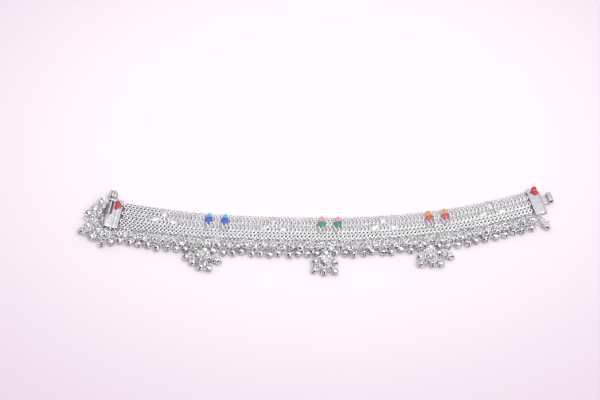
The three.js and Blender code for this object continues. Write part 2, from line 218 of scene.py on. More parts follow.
@dataclass
class Surface:
    """Corners and faces of closed skins, held as whole arrays.

    recess is 0 on open metal and 1 down in a groove, and darkens the finish: tarnish, and on some
    pieces painted shade. tone is one number for each copied shape.
    """

    corners: Array
    quads: Array
    tris: Array
    recess: Array
    tone: Array

    @classmethod
    def of(cls, corners: Array, quads: Array, tris: Array, recess: Array) -> "Surface":
        """A skin with its faces outwards."""
        return cls(corners, quads, tris, recess, np.full(len(corners), 0.5)).facing_out()

    @classmethod
    def capped(cls, rings: Array, recess: Array | float = 0.0) -> "Surface":
        """A skin over a row of closed rings, with a fan of triangles on each end.

        Args:
            rings: Corners by ring, by place on the ring, by axis.
            recess: Numbers that are spread to the corners of the rings.

        Returns:
            The closed skin. Each fan meets at the mean of its ring.
        """
        count, around = rings.shape[:2]
        depth = np.broadcast_to(recess, (count, around))
        j = np.arange(around)
        k = (j + 1) % around
        last, hub = (count - 1) * around, np.full(around, count * around)
        fans = [np.stack([k, j, hub], -1), np.stack([last + j, last + k, hub + 1], -1)]
        return cls.of(
            np.concatenate([rings.reshape(-1, 3), rings[[0, -1]].mean(1)]),
            grid_quads(count, around),
            np.concatenate(fans),
            np.concatenate([depth.reshape(-1), depth[[0, -1]].mean(1)]),
        )

    @classmethod
    def looped(cls, rings: Array, recess: Array | float = 0.0) -> "Surface":
        """A skin over a row of closed rings whose last joins its first, as on a tube's wall."""
        quads = grid_quads(*rings.shape[:2], closed=True)
        depth = np.broadcast_to(recess, rings.shape[:2])
        return cls.of(rings.reshape(-1, 3), quads, np.zeros((0, 3), int), depth.reshape(-1))

    @staticmethod
    def joined(parts: Sequence["Surface"]) -> "Surface":
        """Several skins as one, with the faces of each counted on from the last."""
        starts = np.cumsum([0] + [len(part.corners) for part in parts[:-1]])
        arrays = [
            (part.corners, part.quads + start, part.tris + start, part.recess, part.tone)
            for part, start in zip(parts, starts)
        ]
        return Surface(*(np.concatenate(same) for same in zip(*arrays)))

    def facing_out(self) -> "Surface":
        """The skin, turned inside out if its volume, the sum of a . (b x c), is negative."""
        halves = np.concatenate([self.quads[:, :3], self.quads[:, [0, 2, 3]], self.tris])
        a, b, c = (self.corners - self.corners.mean(0))[halves.T]
        if np.einsum("ij,ij->", a, np.cross(b, c)) < 0:
            self.quads, self.tris = self.quads[:, ::-1], self.tris[:, ::-1]
        return self

    def copies(self, turns: Array, places: Array, tones: Array | None = None) -> "Surface":
        """One copy for each place: every corner is turned and then moved.

        Args:
            turns: A matrix for each copy, or one for all.
            places: A place for each copy.
            tones: A number for each copy, spread evenly if left out.

        Returns:
            All the copies as one skin.
        """
        count, size = len(places), len(self.corners)
        turns = np.broadcast_to(turns, (count, 3, 3))
        corners = np.einsum("kab,nb->kna", turns, self.corners) + places[:, None]
        steps = np.arange(count)[:, None, None] * size
        if tones is None:
            tones = (np.arange(count) * GOLDEN) % 1
        return Surface(
            corners.reshape(-1, 3),
            (self.quads + steps).reshape(-1, 4),
            (self.tris + steps).reshape(-1, 3),
            np.tile(self.recess, count),
            np.repeat(tones, size),
        )

    def with_axes(self, *order: int) -> "Surface":
        """The skin with its axes in another order, and its faces still outwards."""
        self.corners = self.corners[:, list(order)]
        return self.facing_out()


# ---- The strip and its curve -------------------------------------------------------------------


@dataclass(frozen=True)
class Strip:
    """The straight strip, and the arcs that it is laid along: a length and a turn each."""

    half: float = 8.0
    band_start: float = 9.3
    band_end: float = 251.6
    most: float = 3.0
    fade: float = 40.0
    heading: float = -12.0
    arcs: tuple[tuple[float, float], ...] = (
        (9.3, 0.0),
        (60.0, 8.2),
        (60.0, 3.8),
        (60.0, 7.5),
        (62.3, 11.0),
        (13.4, 0.0),
    )
    origin: tuple[float, float] = (0.0, 0.0)

    @classmethod
    def in_frame(cls) -> "Strip":
        """The strip put where the frame's band is, by that band's least x and greatest y."""
        loose = cls()
        along = np.linspace(loose.band_start, loose.band_end, 400)
        low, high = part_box("woven_band")
        west = loose.laid(points(along, loose.front_edge(along), 0))[:, 0].min()
        north = loose.laid(points(along, loose.half, 0))[:, 1].max()
        return cls(origin=((low.x - west) / MM, (high.y - north) / MM))

    def route(self, along: Array) -> tuple[Array, Array, Array]:
        """Where the curve is at each distance along it, and its heading there.

        Within an arc the chord to a point is its distance times sin(h) / h, at the heading h
        halfway, where h is half the turn so far.
        """

        def before(steps: Array) -> Array:
            """The sum of the steps before each one."""
            return np.cumsum(steps) - steps

        lengths, turns = np.array(self.arcs).T
        turns = np.radians(turns)
        starts, headings = before(lengths), math.radians(self.heading) + before(turns)
        chords = lengths * np.sinc(turns / TURN)
        xs = before(chords * np.cos(headings + turns / 2))
        ys = before(chords * np.sin(headings + turns / 2))
        k = np.clip(np.searchsorted(starts, along, side="right") - 1, 0, len(starts) - 1)
        step = along - starts[k]
        half = turns[k] / lengths[k] * step / 2
        chord = step * np.sinc(half / math.pi)
        x = xs[k] + chord * np.cos(headings[k] + half)
        y = ys[k] + chord * np.sin(headings[k] + half)
        return x, y, headings[k] + 2 * half

    def laid(self, corners: Array) -> Array:
        """Corners of the strip moved onto the curve, in metres: across is square to the heading."""
        x, y, heading = self.route(corners[:, 0])
        across = corners[:, 1]
        east = x - across * np.sin(heading) + self.origin[0]
        north = y + across * np.cos(heading) + self.origin[1]
        return points(east, north, corners[:, 2]) * MM

    def front_edge(self, along: Array) -> Array:
        """Across, where the front edge is: the weave widens towards the screw plate."""
        return -self.half - self.most * np.exp(-np.asarray(along, float) / self.fade)

    def widened(self, corners: Array) -> Array:
        """Corners stretched with the weave, in proportion from its back edge to its front edge."""
        moved = self.front_edge(corners[..., 0]) + self.half
        share = np.clip((self.half - corners[..., 1]) / (2 * self.half), 0, 1)
        return corners + points(0, share * moved, 0)

    def outside(self, along: Array, out: Array | float) -> Array:
        """Across, at a distance beyond the front edge."""
        return self.front_edge(along) - out


# ---- Materials ---------------------------------------------------------------------------------


class Value:
    """A socket that takes part in Python arithmetic, with one Math node for each operator."""

    def __init__(self, kit: "Kit", socket: bpy.types.NodeSocket) -> None:
        self.kit = kit
        self.socket = socket

    def _joined(self, operation: str, first: object, second: object = 0.0) -> "Value":
        """The result of one Math node."""
        node = self.kit.add("ShaderNodeMath", {"operation": operation}, {0: first, 1: second})
        return Value(self.kit, node.outputs[0])

    def __add__(self, other: object) -> "Value":
        """self + other."""
        return self._joined("ADD", self, other)

    def __rsub__(self, other: object) -> "Value":
        """other - self."""
        return self._joined("SUBTRACT", other, self)

    def __mul__(self, other: object) -> "Value":
        """self * other."""
        return self._joined("MULTIPLY", self, other)

    def rise(self, low: float, high: float) -> "Value":
        """0 below low, 1 above high, and a smooth step between them."""
        settings = {"interpolation_type": "SMOOTHSTEP"}
        node = self.kit.add("ShaderNodeMapRange", settings, {0: self, 1: low, 2: high})
        return Value(self.kit, node.outputs[0])


class Kit:
    """One node tree, and short ways to add to it."""

    def __init__(self, tree: bpy.types.NodeTree) -> None:
        """Starts with an empty tree."""
        self.tree = tree
        tree.nodes.clear()

    def add(
        self, kind: str, settings: dict[str, object], inputs: dict[int | str, object]
    ) -> bpy.types.Node:
        """A new node.

        Args:
            kind: The node's type.
            settings: What is set on the node itself, before its sockets.
            inputs: A number, a colour or a Value for each socket, by its name or place.

        Returns:
            The node.
        """
        node = self.tree.nodes.new(kind)
        for name, setting in settings.items():
            setattr(node, name, setting)
        for key, value in inputs.items():
            socket = node.inputs[key]
            if isinstance(value, Value):
                self.tree.links.new(value.socket, socket)
            elif isinstance(value, tuple) and len(value) < len(socket.default_value):
                socket.default_value = (*value, 1)
            else:
                socket.default_value = value
        return node

    def coordinates(self, kind: str) -> Value:
        """A place in the scene's or the object's own coordinates."""
        return Value(self, self.add("ShaderNodeTexCoord", {}, {}).outputs[kind])

    def place(self) -> Value:
        """Object coordinates in millimetres."""
        return self.scaled(self.coordinates("Object"), (1000, 1000, 1000))

    def axes(self, vector: Value) -> list[Value]:
        """A vector's three numbers."""
        parts = self.add("ShaderNodeSeparateXYZ", {}, {0: vector})
        return [Value(self, parts.outputs[axis]) for axis in "XYZ"]

    def attribute(self, name: str, output: str = "Fac") -> Value:
        """A number or a vector that the mesh carries."""
        node = self.add("ShaderNodeAttribute", {"attribute_name": name}, {})
        return Value(self, node.outputs[output])

    def scaled(self, vector: Value, by: Point) -> Value:
        """A vector with each of its numbers multiplied."""
        node = self.add("ShaderNodeVectorMath", {"operation": "MULTIPLY"}, {0: vector, 1: by})
        return Value(self, node.outputs[0])

    def noise(self, vector: Value, scale: float, detail: float = 2.0, rough: float = 0.5) -> Value:
        """Soft noise from 0 to 1."""
        inputs = {"Vector": vector, "Scale": scale, "Detail": detail, "Roughness": rough}
        return Value(self, self.add("ShaderNodeTexNoise", {}, inputs).outputs[0])

    def cells(self, vector: Value, scale: float, feature: str = "F1") -> Value:
        """Distance from scattered points, or from the walls between their cells."""
        inputs = {"Vector": vector, "Scale": scale}
        node = self.add("ShaderNodeTexVoronoi", {"feature": feature}, inputs)
        return Value(self, node.outputs["Distance"])

    def blend(self, share: Value, first: Colour | Value, second: Colour | Value) -> Value:
        """From the first colour to the second, by a share from 0 to 1."""
        settings = {"data_type": "RGBA", "clamp_factor": True}
        node = self.add("ShaderNodeMix", settings, {0: share, 6: first, 7: second})
        return Value(self, node.outputs[2])

    def bump(self, height: Value) -> Value:
        """A normal from a height in millimetres."""
        inputs = {"Height": height, "Distance": MM, "Strength": 1.0}
        return Value(self, self.add("ShaderNodeBump", {}, inputs).outputs[0])

    def finish(self, kind: str, inputs: dict[int | str, object], output: str) -> None:
        """Adds the last shader and joins it to the tree's output."""
        shader = Value(self, self.add(kind, {}, inputs).outputs[0])
        self.add(output, {}, {"Surface": shader})


class Finish:
    """A finish that can dress a piece."""

    name: str

    def recipe(self, kit: Kit) -> dict[int | str, object]:
        """What goes into the surface shader's sockets."""
        raise NotImplementedError

    def material(self) -> bpy.types.Material:
        """The finish as a material, which is made once."""
        name = f"{self.name}_dressed"
        made = bpy.data.materials.get(name)
        if made is None:
            made = bpy.data.materials.new(name)
            made.use_nodes = True
            kit = Kit(made.node_tree)
            kit.finish("ShaderNodeBsdfPrincipled", self.recipe(kit), "ShaderNodeOutputMaterial")
        return made


@dataclass(frozen=True)
class Silver(Finish):
    """Silver with tarnish in its recesses, which on some pieces also paints shade there, fine grain
    and soft dents. Depths are in millimetres.
    """

    name: str
    bright: Colour = (0.93, 0.925, 0.94)
    tarnish_and_shade: Colour = (0.16, 0.15, 0.16)
    polish: float = 0.14
    wear: float = 0.2
    grain: Point = (5.0, 5.0, 5.0)
    grain_depth: float = 0.004
    dent_size: float = 1.6
    dent_depth: float = 0.03
    patches: float = 0.25
    tones: float = 0.15
    metal: float = 1.0

    def recipe(self, kit: Kit) -> dict[int | str, object]:
        """Recesses, slow patches and each copy's tone carry tarnish, which in some recesses and
        tones is painted shade, and most of it is rough.
        """
        spot = kit.place()
        strip = kit.attribute("strip", "Vector")
        patch = kit.noise(spot, 0.35, 3.0).rise(0.42, 0.72)
        grain = kit.noise(kit.scaled(strip, self.grain), 1.0, 3.0, 0.65)
        dents = kit.noise(spot, 1 / self.dent_size, 1.0)
        specks = kit.noise(spot, 2.6, 2.0).rise(0.62, 0.74)
        recess = kit.attribute("recess")
        tone = kit.attribute("tone")
        # This darkening mixes real tarnish from patches, specks and tones with the painted shade
        # that some pieces carry in their recess and tone numbers.
        tarnish_and_shade_share = recess * 0.85 + patch * self.patches + specks * 0.1 + tone * self.tones
        rough = patch * self.wear + recess * 0.25 + grain * 0.08 + self.polish
        return {
            "Base Color": kit.blend(tarnish_and_shade_share, self.bright, self.tarnish_and_shade),
            "Metallic": self.metal,
            "Roughness": rough,
            "Normal": kit.bump(grain * self.grain_depth + dents * self.dent_depth),
        }


@dataclass(frozen=True)
class Enamel(Finish):
    """Glassy enamel: deeper in colour at its edges, as painted shade where the dome falls away,
    clouded, speckled, and a little wavy on top.
    """

    name: str
    light: Colour
    deep: Colour
    glow: Colour

    def recipe(self, kit: Kit) -> dict[int | str, object]:
        """The painted shade at the edge and the clouds mix two colours, and small specks add a
        third.
        """
        spot = kit.place()
        cloud = kit.noise(spot, 0.8, 3.0).rise(0.35, 0.7)
        specks = kit.cells(spot, 3.2).rise(0.16, 0.05)
        edge = kit.attribute("recess")
        body = kit.blend(edge * 0.8 + cloud * 0.3, self.light, self.deep)
        return {
            "Base Color": kit.blend(specks * 0.35 + cloud * 0.12, body, self.glow),
            "Roughness": cloud * 0.12 + edge * 0.15 + 0.1,
            "Coat Weight": 0.5,
            "Coat Roughness": 0.05,
            "Normal": kit.bump(kit.noise(spot, 1.1, 2.0) * 0.06 + specks * 0.01),
        }


@dataclass(frozen=True)
class DarkBed(Finish):
    """A dark sheet under the weave, painted as the shade between its rings: rough, with rows of
    wire seen faintly.
    """

    name: str = "dark_bed_silver"
    tarnish_and_shade: Colour = (0.12, 0.115, 0.125)
    # worn is the colour of the faint wires, and also the lighter end of the painted shade at the
    # back.
    worn: Colour = (0.8, 0.79, 0.81)

    def recipe(self, kit: Kit) -> dict[int | str, object]:
        """Wires between scattered cells show faintly over the painted shade, which is lighter at
        the back and away from the screw plate.
        """
        spot = kit.place()
        walls = kit.cells(spot, 1.1, "DISTANCE_TO_EDGE").rise(0.16, 0.02)
        grime = kit.noise(spot, 0.9, 3.0)
        along, across, _ = kit.axes(kit.attribute("strip", "Vector"))
        # The sheet's painted shade is deepest at the front edge and near the screw plate.
        unshaded_share = along.rise(26, 50) * across.rise(-4.5, 1.5)
        return {
            "Base Color": kit.blend(walls * grime * 0.5 + unshaded_share * 0.5, self.tarnish_and_shade, self.worn),
            "Metallic": 0.4,
            "Roughness": grime * 0.3 + 0.4,
            "Normal": kit.bump(walls * 0.15 + grime * 0.05),
        }


@dataclass(frozen=True)
class PaleFloor(Finish):
    """A plain pale surface that is darker and faintly pinker away from the middle, as a painted
    fall-off of light.
    """

    name: str = "pale_floor"
    middle: Colour = (0.955, 0.895, 0.94)
    far: Colour = (0.78, 0.665, 0.745)

    def recipe(self, kit: Kit) -> dict[int | str, object]:
        """The distance from the middle mixes the two colours, the far one being the painted
        fall-off of light.
        """
        spot = kit.scaled(kit.place(), (1 / 200, 1 / 150, 0))
        inputs = {0: spot, 1: (0, 0.4, 0)}
        radius = kit.add("ShaderNodeVectorMath", {"operation": "DISTANCE"}, inputs)
        share = Value(kit, radius.outputs["Value"]).rise(0.4, 1.6)
        fine = kit.noise(kit.place(), 1.5, 2.0)
        return {
            "Base Color": kit.blend(share, self.middle, self.far),
            "Roughness": fine * 0.1 + 0.55,
            "Specular IOR Level": 0.2,
        }


WOVEN = Silver(
    "woven_silver",
    (0.985, 0.98, 0.99),
    tarnish_and_shade=(0.34, 0.33, 0.35),
    polish=0.2,
    wear=0.16,
    dent_depth=0.015,
    tones=0.12,
    patches=0.1,
    metal=0.72,
)
CUT = Silver(
    "cut_silver",
    (0.72, 0.715, 0.73),
    grain=(7.0, 1.2, 3.0),
    grain_depth=0.02,
    polish=0.28,
    dent_size=1.1,
    dent_depth=0.16,
    patches=0.15,
)
PLATE = Silver(
    "plate_silver",
    bright=(0.69, 0.685, 0.705),
    grain=(7.0, 0.5, 3.0),
    grain_depth=0.006,
    polish=0.22,
    wear=0.18,
    dent_size=2.6,
    dent_depth=0.1,
    patches=0.3,
    tarnish_and_shade=(0.3, 0.29, 0.31),
)
THREAD = Silver("screw_silver", grain=(3.0, 12.0, 3.0), polish=0.16, patches=0.25, dent_depth=0.02)
BELL = Silver(
    "bell_silver",
    (0.95, 0.945, 0.955),
    # Nearly black: the painted shade in the bells' slits and feet.
    tarnish_and_shade=(0.03, 0.028, 0.03),
    polish=0.03,
    wear=0.08,
    grain_depth=0.0008,
    dent_size=1.3,
    dent_depth=0.02,
    patches=0.12,
    tones=0.08,
)
RIM = Silver("rim_silver", polish=0.12, patches=0.15, dent_depth=0.01)

RED = Enamel("enamel_red", (0.62, 0.016, 0.022), (0.22, 0.004, 0.008), (0.85, 0.1, 0.1))
SKY = Enamel("enamel_sky", (0.012, 0.52, 0.92), (0.004, 0.3, 0.62), (0.1, 0.75, 0.98))
BLUE = Enamel("enamel_blue", (0.028, 0.14, 0.68), (0.006, 0.03, 0.24), (0.1, 0.3, 0.85))
PINK = Enamel("enamel_pink", (0.93, 0.32, 0.47), (0.7, 0.14, 0.28), (0.98, 0.6, 0.7))
GREEN = Enamel("enamel_green", (0.004, 0.37, 0.165), (0.001, 0.16, 0.045), (0.05, 0.62, 0.3))
YELLOW = Enamel("enamel_yellow", (0.68, 0.34, 0.04), (0.68, 0.24, 0.006), (0.98, 0.75, 0.2))
ROSE = Enamel("enamel_rose", (0.68, 0.1, 0.11), (0.3, 0.012, 0.035), (0.85, 0.25, 0.3))


# ---- Pieces ------------------------------------------------------------------------------------


def linked(name: str, data: bpy.types.ID) -> bpy.types.Object:
    """A new object in the scene, which carries the data."""
    made = bpy.data.objects.new(name, data)
    bpy.context.scene.collection.objects.link(made)
    return made


@dataclass
class Workshop:
    """Turns surfaces of the strip into finished pieces of the anklet."""

    strip: Strip
    made: int = 0

    def piece(
        self,
        name: str,
        surface: Surface,
        finish: Finish,
        slot: Slot,
        node: str,
        body: Body = Body.ANKLET,
        crease: float = 38.0,
    ) -> None:
        """Makes a finished piece, with its place in its mesh.

        Args:
            name: The piece's name.
            surface: Its skin, on the strip.
            finish: What it is dressed in.
            slot: The record's slot for that finish; not used.
            node: The frame's node that it stands for.
            body: What it moves with.
            crease: Edges that bend more than this many degrees stay sharp.
        """
        surface.corners[:, 2] = np.maximum(surface.corners[:, 2], 0.0)
        mesh = bpy.data.meshes.new(name)
        loops = np.concatenate([surface.quads.reshape(-1), surface.tris.reshape(-1)])
        fours, threes = len(surface.quads), len(surface.tris)
        starts = np.concatenate([np.arange(fours) * 4, fours * 4 + np.arange(threes) * 3])
        mesh.vertices.add(len(surface.corners))
        mesh.vertices.foreach_set("co", self.strip.laid(surface.corners).reshape(-1))
        mesh.loops.add(len(loops))
        mesh.loops.foreach_set("vertex_index", loops.astype(np.int32))
        mesh.polygons.add(fours + threes)
        mesh.polygons.foreach_set("loop_start", starts.astype(np.int32))
        mesh.update(calc_edges=True)
        for label, kind, key, numbers in (
            ("recess", "FLOAT", "value", surface.recess),
            ("tone", "FLOAT", "value", surface.tone),
            ("strip", "FLOAT_VECTOR", "vector", surface.corners),
        ):
            layer = mesh.attributes.new(label, kind, "POINT")
            layer.data.foreach_set(key, numbers.astype(np.float32).reshape(-1))
        mesh.shade_smooth()
        mesh.set_sharp_from_angle(angle=math.radians(crease))
        mesh.materials.append(finish.material())
        made = linked(name, mesh)
        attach(made, body.value)
        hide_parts(node)
        self.made += 1
        LOG.info("%s: %d faces on %s", name, fours + threes, body.value)

    def drops(self, node: str, parts: Sequence[Surface]) -> None:
        """Makes the bells and wires of one node as one piece."""
        skin = Surface.joined(parts)
        self.piece(f"{node}_drops", skin, BELL, Slot.BELL, node, crease=WIRE_CREASE)


def wire_ring(
    radius: float,
    wire: float,
    around: int = 12,
    sides: int = 4,
    spread: float = 0.0,
    flat: float = 1.0,
) -> Surface:
    """A ring of wire about the third axis, drawn out along the first axis if spread is given.

    Point (a, b) is at ((R + w cos b) cos a + s, (R + w cos b) sin a, f w sin b), where R and w are
    the radii of the ring and of its wire, f is how far the wire is flattened, and s is the
    spread, with the sign of cos a.
    """
    a = (np.arange(around) + 0.5)[:, None] / around * TURN
    b = (np.arange(sides) + 0.5) / sides * TURN
    reach = radius + wire * np.cos(b)
    x = reach * np.cos(a) + spread * np.sign(np.cos(a))
    return Surface.looped(points(x, reach * np.sin(a), flat * wire * np.sin(b)))


def tube(inner: float, outer: float, low: float, high: float, around: int = 32) -> Surface:
    """A thick-walled tube about the second axis, with soft lips.

    Its wall is an outline of radius and height, which is carried once round: the corners at the
    outline's point (r, h) are at (r cos a, h, r sin a).
    """
    r, h = rounded([(inner, low), (outer, low), (outer, high), (inner, high)], 0.25).T
    a = np.arange(around)[:, None] / around * TURN
    recess = np.clip((outer - 0.3 - r) / (outer - inner), 0, 1) * 0.9
    return Surface.looped(points(r * np.cos(a), h, r * np.sin(a)), recess)


@dataclass
class WovenBand:
    """The band: rings woven round a flat loop, over a dark bed, with bright-cut leaves on it."""

    shop: Workshop
    columns: int = 106
    rows: int = 14
    radius: float = 0.98
    wire: float = 0.5
    lean: float = 27.0
    course: tuple[tuple[float, float], ...] = (
        (6.9, 2.02),
        (-5.6, 2.02),
        (-6.9, 1.85),
        (-7.6, 1.4),
        (-7.4, 0.85),
        (-6.5, 0.7),
        (6.6, 0.7),
        (7.35, 1.35),
    )
    middle: float = 130.45
    pitch: float = 32.3

    def woven(self) -> Surface:
        """Rings in staggered rows round the course, which lean to and fro by turns.

        Row j is at (j + 1/2) / rows of the course's length, and ring i of it at i + (j mod 2) / 2
        pitches along the band. Near the front edge the rows lie flatter and more in line.
        """
        strip, count, rows = self.shop.strip, self.columns, self.rows
        fine = spaced(np.array(self.course), 40 * rows)
        at = np.arange(rows) * 40 + 20
        tangent = np.roll(fine, -12, 0)[at] - np.roll(fine, 12, 0)[at]
        tangent /= np.linalg.norm(tangent, axis=1, keepdims=True)
        i, j = (grid.reshape(-1) for grid in np.indices((count, rows)))
        first = strip.band_start + 1.15
        step = (strip.band_end - first - 1.15) / (count - 0.5)
        chance = np.random.default_rng(7)
        jitter = chance.uniform(-1, 1, (4, len(i)))
        across, up = fine[at[j]].T
        front = (across < -2) & (up > 1.4)
        along = first + (i + np.where(front, 0.2, 0.5) * (j % 2)) * step + 0.07 * jitter[0]
        places = points(along, across + 0.06 * jitter[1], up)
        side = points(0, tangent[j, 0], tangent[j, 1])
        ahead = np.broadcast_to([1.0, 0.0, 0.0], side.shape)
        frames = np.stack([ahead, side, np.cross(ahead, side)], -1)
        upright = smooth_step(places[:, 1], -2.5, 0.5) * smooth_step(along, 26, 44)
        tilt = 8 + (self.lean - 8) * upright
        lean = np.radians(tilt) * np.where(j % 2, 1, -1) + 0.1 * jitter[2]
        turns = frames @ turned_about(1, lean) @ turned_about(0, 0.1 * jitter[3])
        ring = wire_ring(self.radius, self.wire, flat=0.7)
        # The tones rise near the screw plate, which darkens the rings there as painted shade.
        tones = chance.uniform(0, 1, len(i)) + 1.3 * (1 - smooth_step(along, 14, 60))
        return ring.copies(turns, strip.widened(places), tones)

    def bed(self) -> Surface:
        """A thin slab inside the weave, dark as painted shade: one soft section carried along the
        band.
        """
        sharp = [(6.9, 1.15), (6.9, 1.5), (-5.4, 1.5), (-6.6, 1.25), (-6.6, 1.1)]
        across, up = rounded(sharp, 0.15).T
        strip = self.shop.strip
        along = np.linspace(strip.band_start + 0.3, strip.band_end - 0.3, 90)[:, None]
        return Surface.capped(strip.widened(points(along, across, up)))

    @staticmethod
    def leaf(centres: Array, angle: float, length: float, width: float) -> Surface:
        """Domed leaves with a ridge down the middle.

        A leaf's half width at u along it is w sin(pi u)^0.8, and its height at v across it is
        0.42 (1 - |v|^1.6) sin(pi u)^0.5 over the top, with a flat underside.

        Args:
            centres: Where each leaf's middle is.
            angle: Which way the leaves run, in degrees from along.
            length: From tip to tip.
            width: At its widest.

        Returns:
            All the leaves.
        """
        u = np.linspace(0.02, 0.98, 11)[:, None]
        around = np.arange(12) / 12 * TURN
        v = np.cos(around)
        full = np.sin(math.pi * u)
        top = 0.42 * (1 - np.abs(v) ** 1.6) * full**0.5
        z = np.where(np.sin(around) > 0.01, top, -0.25)
        corners = points((u - 0.5) * length, v * full**0.8 * width / 2, z)
        leaf = Surface.capped(corners, np.abs(v) ** 3 * 0.35)
        return leaf.copies(turned_about(2, math.radians(angle)), centres)

    def leaves(self) -> Surface:
        """A trefoil between each two flowers' places, and two strokes below each flower."""
        at = self.middle + np.array([-3, -1, 1, 3]) * self.pitch
        up = 2.3
        parts = [
            self.leaf(points(at + x, y, up), angle, length, width)
            for x, y, angle, length, width in (
                (0.3, 5.0, 92, 5.4, 4.4),
                (-4.7, 0.3, 200, 6.4, 4.2),
                (5.6, 0.2, -20, 6.4, 4.2),
            )
        ]
        pair = np.array([-0.5, 0.5]) * FLOWER_SPACING
        flowers = (np.array(FLOWER_MIDDLES)[:, None] + pair).reshape(-1)
        for side in (-1, 1):
            centres = points(flowers + 1.6 * side, -1.6, up + 0.15)
            parts.append(self.leaf(centres, 90 - 28 * side, 4.8, 1.4))
        return Surface.joined(parts)

    def build(self) -> None:
        """Makes the weave, its bed and its leaves."""
        for name, skin, finish, crease in (
            ("woven_rings", self.woven(), WOVEN, WIRE_CREASE),
            ("woven_bed", self.bed(), DarkBed(), 38.0),
            ("cut_leaves", self.leaves(), CUT, 38.0),
        ):
            self.shop.piece(name, skin, finish, Slot.WOVEN, "woven_band", crease=crease)


@dataclass
class ScrewPlate:
    """The plate over the band's first end, with its barrel in two knuckles about a notch."""

    shop: Workshop
    pin_along: float = 1.7
    pin_up: float = 2.9
    barrel: float = 1.7
    bore: float = 1.15
    low: float = -8.3
    high: float = 8.2
    notch: tuple[float, float] = (-1.3, 6.6)
    notch_depth: float = 3.7

    def sheet(self) -> Surface:
        """The plate's profile carried across the band, cut back to a wall along the notch.

        The profile is (along, up). Its top is lowered by 0.16 (1 - cos(2 pi (x - 4) / 2.2)) / 2,
        which gives soft flutes, and inside the notch no point is nearer the barrel than the wall.
        """
        foot = [(3.1, 3.3), (3, 1.8), (3.2, 0)]
        sharp = [(9, 0), (9, 3.35), (4.8, 3.5), (3, 4.15), (1.7, 4.6), (2.2, 4.1), *foot]
        x, z = spaced(rounded(sharp, 0.6, 5), 90).T
        open_top = smooth_step(x, 3.6, 4.4) * smooth_step(-x, -8.9, -8.4) * (z > 3)
        z = z - open_top * 0.16 * (1 - np.cos(TURN * (x - 4) / 2.2)) / 2
        a, b = self.notch
        across = np.concatenate(
            [
                self.low + np.array([0, 0.06, 0.25]),
                np.linspace(self.low + 1.5, a - 0.2, 5),
                [a, a + 0.02],
                np.linspace(a + 0.6, b - 0.6, 7),
                [b - 0.02, b, b + 0.02],
                self.high - np.array([0.25, 0.06, 0]),
            ]
        )[:, None]
        cut = (across > a) & (across <= b)
        inset = np.clip(1 - np.minimum(across - self.low, self.high - across) / 0.25, 0, 1)
        shrink = 1 - 0.035 * inset**2
        xs, zs = (x - 6) * shrink + 6, (z - 1.6) * shrink + 1.6
        walled = np.where(cut, np.maximum(xs, self.notch_depth), xs)
        lowered = np.where(cut & (xs < self.notch_depth), np.minimum(zs, 3.8), zs)
        rings = self.shop.strip.widened(points(walled, across, lowered))
        # The lowest part of the sheet is darkened a little: painted shade near the floor.
        return Surface.capped(rings, 0.25 * (zs < 1))

    def knuckles(self) -> list[Surface]:
        """The barrel's two thick-walled lengths, either side of the notch."""
        parts = []
        for low, high in ((self.low, self.notch[0]), (self.notch[1], self.high)):
            part = tube(self.bore, self.barrel, low, high)
            part.corners = self.shop.strip.widened(part.corners + [self.pin_along, 0, self.pin_up])
            parts.append(part)
        return parts

    def lip(self) -> Surface:
        """The thin floor under the notch, darkened almost fully as painted shade in the notch: a
        soft outline of along and up, carried across.
        """
        outline = rounded([(-1.4, 0), (4.2, 0), (4.2, 0.7), (-1.4, 0.7)], 0.25)
        rings = slab(outline, (1.4, 0.35), (-1.0, -0.95, -0.8, 2.6, 6.1, 6.25, 6.3))
        return Surface.capped(self.shop.strip.widened(rings), 0.95)

    def build(self) -> None:
        """Makes the plate with its barrel and its lip."""
        skin = Surface.joined([self.sheet(), self.lip(), *self.knuckles()])
        self.shop.piece("screw_plate_skin", skin, PLATE, Slot.PLATE, "screw_plate")


@dataclass
class ScrewPin:
    """The screw: a threaded shank and a fluted thumb head."""

    shop: Workshop
    along: float = 1.7
    up: float = 2.9
    shank: float = 0.8
    tip: float = -7.4
    head_low: float = 8.5
    head_high: float = 13.1
    head: float = 2.6
    flute: float = 0.2
    pitch: float = 0.8
    lobes: int = 8

    def turned(self, across: Array, radii: Array, recess: Array) -> Surface:
        """Rings about the pin: the corner at angle a is at (r cos a, r sin a) from its axis."""
        a = np.arange(radii.shape[1]) / radii.shape[1] * TURN
        x, z = self.along + radii * np.cos(a), self.up + radii * np.sin(a)
        return Surface.capped(points(x, across[:, None], z), recess)

    def threaded(self) -> Surface:
        """The shank, with a ridge that climbs: its radius is r less 0.13 of a wave.

        The wave is (1 - cos(2 pi (y / pitch + a))) / 2, where a is the share of a turn.
        """
        across = np.linspace(self.tip, self.head_low + 0.6, 170)
        a = np.arange(20) / 20
        wave = (1 - np.cos(TURN * (across[:, None] / self.pitch + a))) / 2
        start = smooth_step(across, self.tip, self.tip + 0.6)[:, None]
        return self.turned(across, self.shank * (0.7 + 0.3 * start) - 0.13 * wave, wave * 0.7)

    def fluted(self) -> Surface:
        """The head. Its radius is (r + f cos(lobes a)) times a soft barrel shape along the pin."""
        reach = np.array([0, 0.02, 0.07, 0.15, 0.3, 0.5, 0.7, 0.84, 0.92, 0.97, 1])
        across = self.head_low + (self.head_high - self.head_low) * reach
        swell = np.array([0.55, 0.8, 0.92, 0.97, 0.99, 1, 0.99, 0.96, 0.9, 0.8, 0.5])[:, None]
        body = np.array([0, 0.1, 0.5, 1, 1, 1, 1, 1, 0.6, 0.2, 0])[:, None]
        wave = np.cos(self.lobes * np.arange(80) / 80 * TURN)
        lobe = 1.4 * np.abs(wave) ** 0.6 * np.sign(wave) - 0.4
        radii = self.head * swell + self.flute * body * lobe
        return self.turned(across, radii, body * (1 - wave) / 2 * 0.8)

    def build(self) -> None:
        """Makes the screw, which slides out along its own axis."""
        skin = Surface.joined([self.threaded(), self.fluted()])
        self.shop.piece("screw_pin_skin", skin, THREAD, Slot.SCREW, "screw_pin", Body.SCREW)


